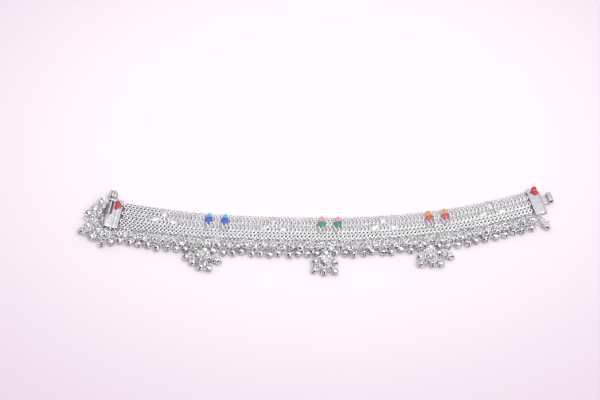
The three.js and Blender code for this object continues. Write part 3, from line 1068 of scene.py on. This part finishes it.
@dataclass
class TonguePlate:
    """The plate over the band's other end, with a cut corner, a stepped edge and a tongue."""

    shop: Workshop
    start: float = 251.9
    edge: float = 259.1
    low: float = -9.4
    high: float = 8.6
    top: float = 3.0
    knuckle_along: float = 263.3
    knuckle_up: float = 2.9
    radius: float = 1.7
    bore: float = 1.15
    span: tuple[float, float] = (-3.9, 1.9)

    def plate(self) -> Surface:
        """A soft flat section carried along: its back corner is cut, and its top steps down.

        The top at x is 3 - 0.6 step(x from 258.0 to 258.15), and the back edge falls from 8.6 to
        5.8 over the last 4.5 millimetres.
        """
        bevel = np.array([0, 0.05, 0.2])
        start, edge = self.start, self.edge
        along = np.concatenate(
            [
                start + bevel,
                np.linspace(start + 1, edge - 4.6, 3),
                np.linspace(edge - 4.4, edge - 1.3, 8),
                edge - np.array([1.12, 0.98, 0.7, 0.5]),
                edge - bevel[::-1],
            ]
        )[:, None]
        inset = 0.15 * np.clip(1 - np.minimum(along - start, edge - along) / 0.2, 0, 1) ** 2
        back = self.high - 2.8 * np.clip((along - edge + 4.5) / 4.5, 0, 1) - inset
        front = self.low + inset
        top = self.top - 0.6 * smooth_step(along, edge - 1.12, edge - 0.98) - inset
        unit = spaced(rounded([(0, 0), (18, 0), (18, 3), (0, 3)], 0.4, 6), 96) / [18, 3]
        wide, high = unit.T
        crown = 0.16 * np.sin(math.pi * wide) * (high > 0.5)
        rings = points(along, front + (back - front) * wide, (top - 0.12) * high + crown * 0.7)
        # worn darkens the top along the step down: painted shade in the step.
        worn = smooth_step(-np.abs(along - edge + 1.0), -0.5, -0.1) * (high > 0.5)
        return Surface.capped(rings, worn * 0.9)

    def tongue(self) -> list[Surface]:
        """The tab, a soft strip that runs into the knuckle's tube."""
        under = [(258.3, 1.5), (263.3, 1.25)]
        over = [(263.3, 2.0), (261.6, 2.5), (259.4, 2.75), (258.3, 2.3)]
        profile = rounded(under + over, 0.3)
        rings = slab(profile, profile.mean(0), (-3.7, -3.66, -3.5, -1.0, 1.3, 1.66, 1.7))
        knuckle = tube(self.bore, self.radius, *self.span)
        knuckle.corners += [self.knuckle_along, 0, self.knuckle_up]
        return [Surface.capped(rings), knuckle]

    def build(self) -> None:
        """Makes the plate with its tongue."""
        skin = Surface.joined([self.plate(), *self.tongue()])
        self.shop.piece("tongue_plate_skin", skin, PLATE, Slot.PLATE, "tongue_plate")


@dataclass
class EnamelCell:
    """One fill of enamel, domed inside its silver bezel."""

    shop: Workshop
    node: str
    outline: Array
    foot: float
    lip: float
    crown: float
    enamel: Enamel
    slot: Slot
    crease: float = 0.0

    def rings(self, scales: Array, heights: Array) -> Array:
        """The outline drawn again at other sizes about its middle, each at its own height."""
        x, y = ((self.outline - self.outline.mean(0)) * scales[:, None, None]).transpose(2, 0, 1)
        middle = self.outline.mean(0)
        return points(middle[0] + x, middle[1] + y, heights[:, None])

    def fill(self) -> Surface:
        """The enamel: at the angle f from its edge it is cos(f) as large and sin(f) as high.

        A crease, if there is one, lowers it by c exp(-(y / 0.55)^2) along its middle line.
        """
        f = np.radians([0, 8, 20, 34, 50, 66, 80, 88])
        edge = self.lip - 0.12
        rings = self.rings(np.cos(f), edge + (self.crown - edge) * np.sin(f))
        away = rings[..., 1] - self.outline[:, 1].mean()
        rings[..., 2] -= self.crease * np.exp(-((away / 0.55) ** 2)) * np.sin(f)[:, None]
        # recess here is 1 at the edge of the fill and 0 on top: the finish paints shade with it.
        return Surface.capped(rings, np.cos(f)[:, None] ** 3)

    def bezel(self) -> Surface:
        """The rim: a wall from the foot to the lip, rolled over inwards and down to the fill."""
        size = np.ptp(self.outline, axis=0).min() / 2
        inward = 1 + np.array([0.02, 0.08, 0.08, 0.05, -0.02, -0.1]) / size
        base = np.array([self.foot] * 2 + [self.lip] * 4)
        heights = base + [0, 0.15, -0.12, 0, -0.02, -0.3]
        recess = np.array([0.7, 0.4, 0.1, 0, 0.3, 0.8])[:, None]
        return Surface.capped(self.rings(inward, heights), recess)

    def build(self) -> None:
        """Makes the fill and its bezel."""
        node = self.node
        self.shop.piece(f"{node}_enamel", self.fill(), self.enamel, self.slot, node)
        self.shop.piece(f"{node}_bezel", self.bezel(), RIM, Slot.PLATE, node)


@dataclass
class Hearts:
    """The red hearts on the two plates, which point at each other."""

    shop: Workshop
    width: float = 6.2
    length: float = 5.0

    def outline(self, along: float, across: float, direction: int) -> Array:
        """A heart: with the angle t its side is sin^3 t, and its rise is a sum of cosines of t."""
        t = (np.arange(48) + 0.5) / 48 * TURN
        rise = (13 * np.cos(t) - 5 * np.cos(2 * t) - 2 * np.cos(3 * t) - np.cos(4 * t)) / 29
        x = along - direction * (rise + 0.09) * self.length
        return np.stack([x, across + direction * np.sin(t) ** 3 * self.width / 2], -1)

    def build(self) -> None:
        """Makes both hearts."""
        for node, at, direction, foot in (
            ("heart_head", (6.6, 4.1), 1, 3.3),
            ("heart_tail", (255.6, 5.8), -1, 2.8),
        ):
            shape = self.outline(*at, direction)
            top = foot + 0.85
            EnamelCell(self.shop, node, shape, foot, top, top + 0.6, RED, Slot.RED, 0.3).build()


@dataclass
class Flowers:
    """Three pairs of enamel flowers: a pointed cap over a bell with three points."""

    shop: Workshop
    half: float = 2.6
    tip: float = 8.1
    length: float = 7.3
    gap: float = 0.12

    @staticmethod
    def mirrored(at: float, left: Sequence[tuple[float, float]]) -> list[tuple[float, float]]:
        """An outline from its left side: the other side runs back, without the middle point."""
        right = [(-x, y) for x, y in reversed(left) if x]
        return [(at + x, y) for x, y in (*left, *right)]

    def cap(self, at: float, long: float, blunt: float) -> Array:
        """The cap's outline, from its tip: blunt is how wide its shoulders are."""
        h, end = self.half, self.tip - long
        left = [(0, self.tip), (-blunt * h, self.tip - 0.4 * long), (-0.66 * h, end)]
        return spaced(rounded(self.mirrored(at, left), 2 * blunt - 0.6, 5), 44)

    def petals(self, at: float, long: float) -> Array:
        """The bell's outline, with its three points to the front."""
        h, top, end = self.half, self.tip - long - self.gap, self.tip - self.length
        deep = top - end
        left = [
            (-0.68 * h, top),
            (-0.88 * h, top - 0.4 * deep),
            (-h, end + 0.3 * deep),
            (-0.42 * h, end + 0.2 * deep),
            (0, end),
        ]
        return spaced(rounded(self.mirrored(at, left), 0.3), 60)

    def build(self) -> None:
        """Makes a cap and a bell for each of the six flowers."""
        pairs = (
            ("flower_1", 2.8, 0.36, (SKY, Slot.SKY), (BLUE, Slot.BLUE)),
            ("flower_2", 3.4, 0.62, (PINK, Slot.PINK), (GREEN, Slot.GREEN)),
            ("flower_3", 3.3, 0.58, (YELLOW, Slot.YELLOW), (ROSE, Slot.ROSE)),
        )
        for middle, (name, long, blunt, cap, petals) in zip(FLOWER_MIDDLES, pairs):
            for letter, side in (("a", -0.5), ("b", 0.5)):
                at = middle + side * FLOWER_SPACING
                for part, shape, (enamel, slot) in (
                    ("cap", self.cap(at, long, blunt), cap),
                    ("petals", self.petals(at, long), petals),
                ):
                    node = f"{name}{letter}_{part}"
                    EnamelCell(self.shop, node, shape, 2.2, 3.1, 3.42, enamel, slot).build()


def scatter(drop: Array, quality: int) -> Array:
    """A repeatable number from -1 to 1: 2 frac(43758.5453 sin(12.9898 d + 78.233 q)) - 1."""
    wave = np.sin(np.asarray(drop, float) * 12.9898 + quality * 78.233) * 43758.5453
    return 2 * (wave - np.floor(wave)) - 1


def leaning(drop: Array, spread: float, quality: int) -> Array:
    """Directions that are scattered about straight up, with two qualities of each drop."""
    return points(spread * scatter(drop, quality), spread * scatter(drop, quality + 1), 0.8)


@dataclass
class Hardware:
    """The bells, jump rings and chain links that every drop is made from."""

    radius: float = 2.05
    eye: float = 0.5
    ring_radius: float = 1.62
    ring_wire: float = 0.27
    bell: Surface = field(init=False)
    ring: Surface = field(init=False)
    link: Surface = field(init=False)

    def __post_init__(self) -> None:
        """Works out each shape once."""
        self.bell = self.hollow_bell()
        self.ring = wire_ring(self.ring_radius, self.ring_wire, 14)
        self.link = wire_ring(0.56, 0.2, 10, spread=0.4).with_axes(2, 1, 0)

    def hollow_bell(self) -> Surface:
        """A round bell about the third axis, with a raised seam, a slit in its foot and an eye.

        Its corner at the angles (a, b) is at R (sin b cos a, sin b sin a, cos b). R grows by 2.5%
        on the seam and shrinks by 30% in the slit, which runs through the foot along the first
        axis and ends in two wide holes.
        """
        half = np.array([-30, -26, -13, -9, 9, 13, 26, 30, 60])
        a = np.radians([*half, 90, *(half + 180), 270])
        b = np.radians([24, 52, 80, 87, 93, 99, 102, 114, 117, 138, 162])[:, None]
        seam = np.array([0, 0, 0, 1, 1, 0, 0, 0, 0, 0, 0])[:, None]
        wide = np.array([0, 0, 0, 0, 0, 0, 28, 28, 11, 11, 11])[:, None]
        slit = np.abs(np.sin(a)) < np.sin(np.radians(wide))
        radius = self.radius * (1 + 0.025 * seam) * (1 - 0.3 * slit)
        flat = radius * np.sin(b)
        # These recess numbers, with the slit's 1.6, paint shade on the bell: near black in the
        # slit, and darker by the eye, under the seam and towards the foot, where they also stand
        # for dark reflections.
        crown = np.array([0.35, 0.05, 0.05, 0, 0, 0.3, 0.1, 0.1, 0.15, 0.25, 0.5])[:, None]
        corners = points(flat * np.cos(a), flat * np.sin(a), radius * np.cos(b))
        ball = Surface.capped(corners, np.maximum(1.6 * slit, crown))
        loop = wire_ring(self.eye, 0.18, 8).with_axes(2, 1, 0)
        loop.corners[:, 2] += self.radius + self.eye * 0.7
        return Surface.joined([ball, loop])

    def bells(self, places: Array, hooks: Array, roll: Array) -> Surface:
        """A bell at each place, with its eye turned to its hook."""
        return self.bell.copies(pointing(hooks - places, roll), places)

    def eyes(self, places: Array, hooks: Array) -> Array:
        """Where the eyes of bells at those places are."""
        reach = hooks - places
        far = np.linalg.norm(reach, axis=1, keepdims=True)
        return places + reach / far * (self.radius + self.eye)

    def rings(self, places: Array, axes: Array) -> Surface:
        """A jump ring at each place, about its own axis."""
        return self.ring.copies(pointing(axes), places)

    def chain(self, starts: Array, ends: Array, step: float = 1.55) -> Surface:
        """Links in a row from each start to its end, with every other link on edge."""
        reach = np.linalg.norm(ends - starts, axis=1)
        count = np.maximum(1, np.round(reach / step)).astype(int)
        k = np.repeat(np.arange(len(count)), count)
        m = np.arange(len(k)) - np.repeat(np.cumsum(count) - count, count)
        share = ((m + 0.5) / count[k])[:, None]
        places = starts[k] * (1 - share) + ends[k] * share
        roll = math.pi / 2 * (m % 2) + 0.5 * scatter(np.arange(len(k)), 3) + 0.5
        return self.link.copies(pointing((ends - starts)[k], roll), places)


@dataclass
class Fringe:
    """The fringe along the front edge: a long and a short drop at each station."""

    shop: Workshop
    kit: Hardware
    sections: int = 9
    per_section: int = 5
    start: float = 10.8
    end: float = 251.0
    taken: tuple[int, ...] = (9, 22, 33)
    lying: tuple[int, ...] = (2, 6, 13, 17, 20, 24, 28, 31, 35, 36, 41, 44)

    def station(self, i: Array) -> Array:
        """How far along the band a station is."""
        pitch = (self.end - self.start) / (self.sections * self.per_section)
        return self.start + np.asarray(i, float) * pitch

    def short_drops(self, i: Array) -> list[Surface]:
        """Bells that each hang from one ring, which leans on them from the front edge."""
        strip, kit = self.shop.strip, self.kit
        along = self.station(i + 0.75)
        across = strip.outside(along, 4.5 + 0.9 * scatter(i, 4))
        up = kit.radius + 0.4 * np.maximum(0, scatter(i, 5))
        bells = points(along + 0.6 * scatter(i, 3), across, up)
        rings = points(along, strip.outside(along, 2.2), 2.2)
        axes = points(0.35 * scatter(i, 6), math.sin(0.7), math.cos(0.7))
        hooks = rings + points(1.5 * scatter(i, 7), 0.6, 1.2)
        return [kit.bells(bells, hooks, 2 * scatter(i, 8)), kit.rings(rings, axes)]

    def long_drops(self, i: Array) -> list[Surface]:
        """Bells on a link, a ring and an eye. Some rings lie flat over the short drops' bells."""
        strip, kit = self.shop.strip, self.kit
        i = i[~np.isin(i, self.taken)]
        along = self.station(i + 0.25)
        out = 8.6 + scatter(i, 2)
        bells = points(along + 0.5 * scatter(i, 1), strip.outside(along, out), kit.radius)
        flat = np.isin(i, self.lying)
        middle = points(along, strip.outside(along, out - 4.3), np.where(flat, 4.15, 2.5))
        sideways = np.where(flat, 0.25, 1.0) * np.sign(scatter(i, 9))
        axes = points(sideways, 0.25 * scatter(i, 10), np.where(flat, 1.0, 0.35))
        edge = points(along, strip.outside(along, 0.1), 1.2)
        return [
            kit.bells(bells, middle, 2 * scatter(i, 11)),
            kit.rings(middle, axes),
            kit.chain(edge, middle + [0, 1.4, 0]),
        ]

    def edge_links(self, first: float, last: float) -> Surface:
        """Small rings along the front edge, which stand and lie by turns."""
        along = np.arange(first + 0.6, last - 0.4, 1.5)
        places = points(along, self.shop.strip.outside(along, 0.75), 0.95)
        turns = turned_about(0, np.where(np.arange(len(along)) % 2, 1.3, 0.3))
        return wire_ring(0.55, 0.22, 8).copies(turns, places)

    def net(self, i: Array) -> Surface:
        """Jump rings that fill the fringe from the front edge down to the long drops' bells.

        There are two columns a station and five rows, 1.6 apart. Every other row is half a
        column further on, and each ring is a little off its place and leans its own way.
        """
        n, row = (grid.reshape(-1) for grid in np.indices((2 * len(i), 5)))
        k = n + row * 97 + i[0] * 31
        along = self.station(i[0] + (n + 0.5 * (row % 2) + 0.25 + 0.25 * scatter(k, 19)) / 2)
        across = self.shop.strip.outside(along, 0.8 + 1.6 * row + 0.5 * scatter(k, 20))
        up = np.array([2.2, 3.4, 4.25, 4.1, 2.3])[row] + 0.3 * scatter(k, 21)
        turns = pointing(leaning(k, 0.55, 22))
        return wire_ring(1.27, 0.28).copies(turns, points(along, across, up))

    def build(self) -> None:
        """Makes the sections one by one."""
        for number in range(self.sections):
            i = np.arange(self.per_section) + number * self.per_section
            links = self.edge_links(self.station(i[0]), self.station(i[-1] + 1))
            parts = [*self.short_drops(i), *self.long_drops(i), self.net(i), links]
            self.shop.drops(f"fringe_{number + 1}", parts)


@dataclass
class Cluster:
    """A hanging cluster: a spine of links over the fringe, and the bells that crowd its end."""

    shop: Workshop
    kit: Hardware
    node: str
    root: float
    bells: tuple[Point, ...]

    def build(self) -> None:
        """Makes the cluster, with a tangle of rings where its drops meet."""
        strip, kit = self.shop.strip, self.kit
        side, out, up = np.array(self.bells).T
        places = points(self.root + side, strip.outside(self.root + 0 * side, out), up)
        out, up = np.array([(2, 1.6), (3.6, 3.3), (11.5, 3.5)]).T
        spine = points(self.root, strip.outside(self.root + 0 * out, out), up)
        end = np.broadcast_to(spine[-1], places.shape)
        k = np.arange(64)
        share = (0.05 + 0.9 * (k * GOLDEN_REST % 1))[:, None]
        knot = spine[-1] * share + places[k % len(places)] * (1 - share)
        knot += points(1.8 * scatter(k, 12), 1.8 * scatter(k, 24), 0)
        knot[:, 2] = 1.8 + 2.2 * share[:, 0] + 0.5 * scatter(k, 25)
        parts = [
            kit.bells(places, end, 2 * scatter(np.arange(len(places)), 15)),
            kit.chain(spine[:-1], spine[1:]),
            kit.chain(end, kit.eyes(places, end)),
            kit.rings(knot, leaning(k, 0.7, 13)),
        ]
        self.shop.drops(self.node, parts)


@dataclass
class Bunch:
    """Drops that fan out from hooks beside a corner of the band."""

    shop: Workshop
    kit: Hardware
    node: str
    hooks: tuple[Point, ...]
    bells: tuple[tuple[int, float, float, float], ...]
    patches: tuple[tuple[float, float, float, float, int], ...]

    def loose(self) -> Array:
        """Places for loose rings in the patches.

        Ring m of n is at (m + 1/2) / n of its patch's length and at the fraction of 0.618 m of
        its width.
        """
        spots = [np.zeros((0, 3))]
        for left, right, front, back, count in self.patches:
            m = np.arange(count)
            x = left + (right - left) * (m + 0.5) / count
            y = front + (back - front) * (m * GOLDEN % 1)
            spots.append(points(x, y, 2.3 + 0.9 * scatter(m, 29)))
        return np.concatenate(spots)

    def build(self) -> None:
        """Makes the bunch: chains between hooks, and a chain and a bell for each drop."""
        kit = self.kit
        hooks = np.array(self.hooks)
        held = hooks[[bell[0] for bell in self.bells]]
        places = np.array([bell[1:] for bell in self.bells])
        reach = held - places
        far = np.linalg.norm(reach, axis=1, keepdims=True)
        m = np.arange(7 * len(places))
        which = m % len(places)
        share = (0.05 + 0.85 * (m * GOLDEN_REST % 1))[:, None]
        tangle = held[which] * share + places[which] * (1 - share)
        tangle += points(1.9 * scatter(m, 26), 1.9 * scatter(m, 27), 0.6 * scatter(m, 28))
        ends = places + reach * np.minimum(0.9, (kit.radius + 1.9) / far)
        rings = np.concatenate([hooks + [0, 0, 0.5], ends, tangle, self.loose()])
        rings[:, 2] = np.clip(rings[:, 2], 1.7, 3.4)
        parts = [
            kit.bells(places, held, 2 * scatter(np.arange(len(places)), 18)),
            kit.chain(hooks[:-1], hooks[1:]),
            kit.chain(held, kit.eyes(places, held)),
            kit.rings(rings, leaning(np.arange(len(rings)), 0.8, 16)),
        ]
        self.shop.drops(self.node, parts)


# The station of each cluster, and its bells: along from there, out from the front edge, and up.
CLUSTERS = {
    "cluster_1": (
        9,
        (
            *((0, 9, 3), (-9.8, 14, 2.05), (-5.8, 17.1, 2.05), (-1.4, 19.8, 2.05)),
            *((3.5, 20.3, 2.05), (7.7, 14.8, 2.05), (-3.4, 13.2, 3.6), (2.8, 14.6, 3.2)),
        ),
    ),
    "cluster_2": (
        22,
        (
            *((0, 8.8, 3), (-5.9, 14, 2.05), (-6.4, 19.7, 2.05), (-1, 20.8, 2.05)),
            *((5.1, 20.5, 2.05), (5.2, 14.4, 2.05), (-0.6, 15, 3.4)),
        ),
    ),
    "cluster_3": (
        33,
        (
            *((0.4, 9, 3), (-5.9, 14.2, 2.05), (-6.2, 18.6, 2.05), (0, 19.4, 2.05)),
            *((4.8, 20.1, 2.05), (10.5, 15.7, 2.05), (4.6, 13.6, 3.4), (-0.8, 14.4, 3.2)),
        ),
    ),
}

# Hooks; bells, each with its hook's number and its place; and patches of loose rings, each with
# its left, right, front and back and how many rings it has.
BUNCHES = {
    "bunch_head": (
        ((-0.9, -12.9, 1.5), (-4.8, -8.6, 1.5), (-3.4, -1, 1.5)),
        (
            *((2, -4.5, 5.2, 2.05), (2, -6.6, -0.6, 2.7), (1, -9.8, -3.6, 2.05)),
            *((1, -11.4, -16, 2.05), (1, -8.4, -11.6, 2.05), (0, -4.6, -18.7, 2.05)),
            *((0, 2, -22, 2.05), (0, 2.6, -16.6, 2.05), (0, 7.4, -20, 2.05)),
        ),
        ((-9.5, 10, -17, -10.8, 46), (-7.5, -1.6, -10, 3.5, 24)),
    ),
    "bunch_tail": (
        ((253.6, -10.6, 1.6), (253.9, -14.4, 2.6)),
        ((1, 255.6, -18.6, 2.05),),
        (),
    ),
}


# ---- Studio ------------------------------------------------------------------------------------


@dataclass
class Studio:
    """A pale floor, soft lights and the camera."""

    target: Point = (-0.00956, 0.02066, 0.0026)
    elevation: float = 60.0
    distance: float = 3.0
    seen_width: float = 0.3526
    sensor: float = 36.0
    floor_half: float = 3.0
    tent_foot: float = 0.4
    tent_rise: float = 0.52
    overhead: float = 1.1
    light: Colour = (1.0, 0.985, 1.0)
    backdrop: Colour = (0.93, 0.86, 0.9)

    def camera(self) -> None:
        """A long lens that takes in the seen width: lens / sensor = distance / width."""
        data = bpy.data.cameras.new("camera")
        data.sensor_width = self.sensor
        data.lens = self.sensor * self.distance / self.seen_width
        data.clip_end = 20
        made = linked("camera", data)
        high = math.radians(self.elevation)
        back = Vector((0, -math.cos(high), math.sin(high)))
        made.location = Vector(self.target) + back * self.distance
        made.rotation_euler = back.to_track_quat("Z", "Y").to_euler()
        bpy.context.scene.camera = made

    def floor(self) -> None:
        """A flat square of floor, which isn't part of the anklet."""
        half = self.floor_half
        mesh = bpy.data.meshes.new("floor")
        corners = [(-half, -half, 0), (half, -half, 0), (half, half, 0), (-half, half, 0)]
        mesh.from_pydata(corners, [], [(0, 1, 2, 3)])
        mesh.materials.append(PaleFloor().material())
        linked("floor", mesh)

    def lamp(self, name: str, place: Point, side: float, power: float) -> None:
        """A square soft box that faces the anklet."""
        data = bpy.data.lights.new(name, "AREA")
        data.shape = "RECTANGLE"
        data.size = data.size_y = side
        data.energy = power
        data.color = self.light
        made = linked(name, data)
        made.location = place
        made.rotation_euler = Vector(place).to_track_quat("Z", "Y").to_euler()

    def world(self) -> None:
        """Soft light from all round, with a wide bright patch overhead and a dark one low in front.

        Each patch is a smooth step of the cosine of the angle from its own direction.
        """
        world = bpy.data.worlds.new("studio")
        bpy.context.scene.world = world
        world.use_nodes = True
        kit = Kit(world.node_tree)
        right, back, up = kit.axes(kit.coordinates("Generated"))
        tent = up.rise(-0.2, 0.9) * self.tent_rise + self.tent_foot
        overhead = (right * 0.3 + back * -0.16 + up * 0.94).rise(0.76, 0.94) * self.overhead
        flag = (right * -0.6 + back * -0.72 + up * 0.35).rise(0.78, 0.92) * 0.92
        seen = Value(kit, kit.add("ShaderNodeLightPath", {}, {}).outputs["Is Camera Ray"])
        strength = (tent + overhead) * (1 - flag) * (1 - seen) + seen
        inputs = {"Color": kit.blend(seen, self.light, self.backdrop), "Strength": strength}
        kit.finish("ShaderNodeBackground", inputs, "ShaderNodeOutputWorld")

    def build(self) -> None:
        """Sets up the whole studio."""
        bpy.context.scene.view_settings.view_transform = "Standard"
        self.camera()
        self.floor()
        self.world()
        self.lamp("key", (0.5, 0.1, 1.1), 0.3, 1.0)
        LOG.info("studio: camera %.0f degrees up", self.elevation)


def build_anklet(shop: Workshop) -> None:
    """Builds every sub-assembly in order."""
    kit = Hardware()
    WovenBand(shop).build()
    ScrewPlate(shop).build()
    ScrewPin(shop).build()
    TonguePlate(shop).build()
    Hearts(shop).build()
    Flowers(shop).build()
    fringe = Fringe(shop, kit)
    fringe.build()
    for node, (station, bells) in CLUSTERS.items():
        Cluster(shop, kit, node, float(fringe.station(station + 0.25)), bells).build()
    for node, (hooks, bells, patches) in BUNCHES.items():
        Bunch(shop, kit, node, hooks, bells, patches).build()
    LOG.info("anklet: %d pieces", shop.made)


def main() -> None:
    """Builds the anklet and its studio."""
    logging.basicConfig(level=logging.INFO, format="%(message)s")
    build_anklet(Workshop(Strip.in_frame()))
    Studio().build()


if __name__ == "__main__":
    main()
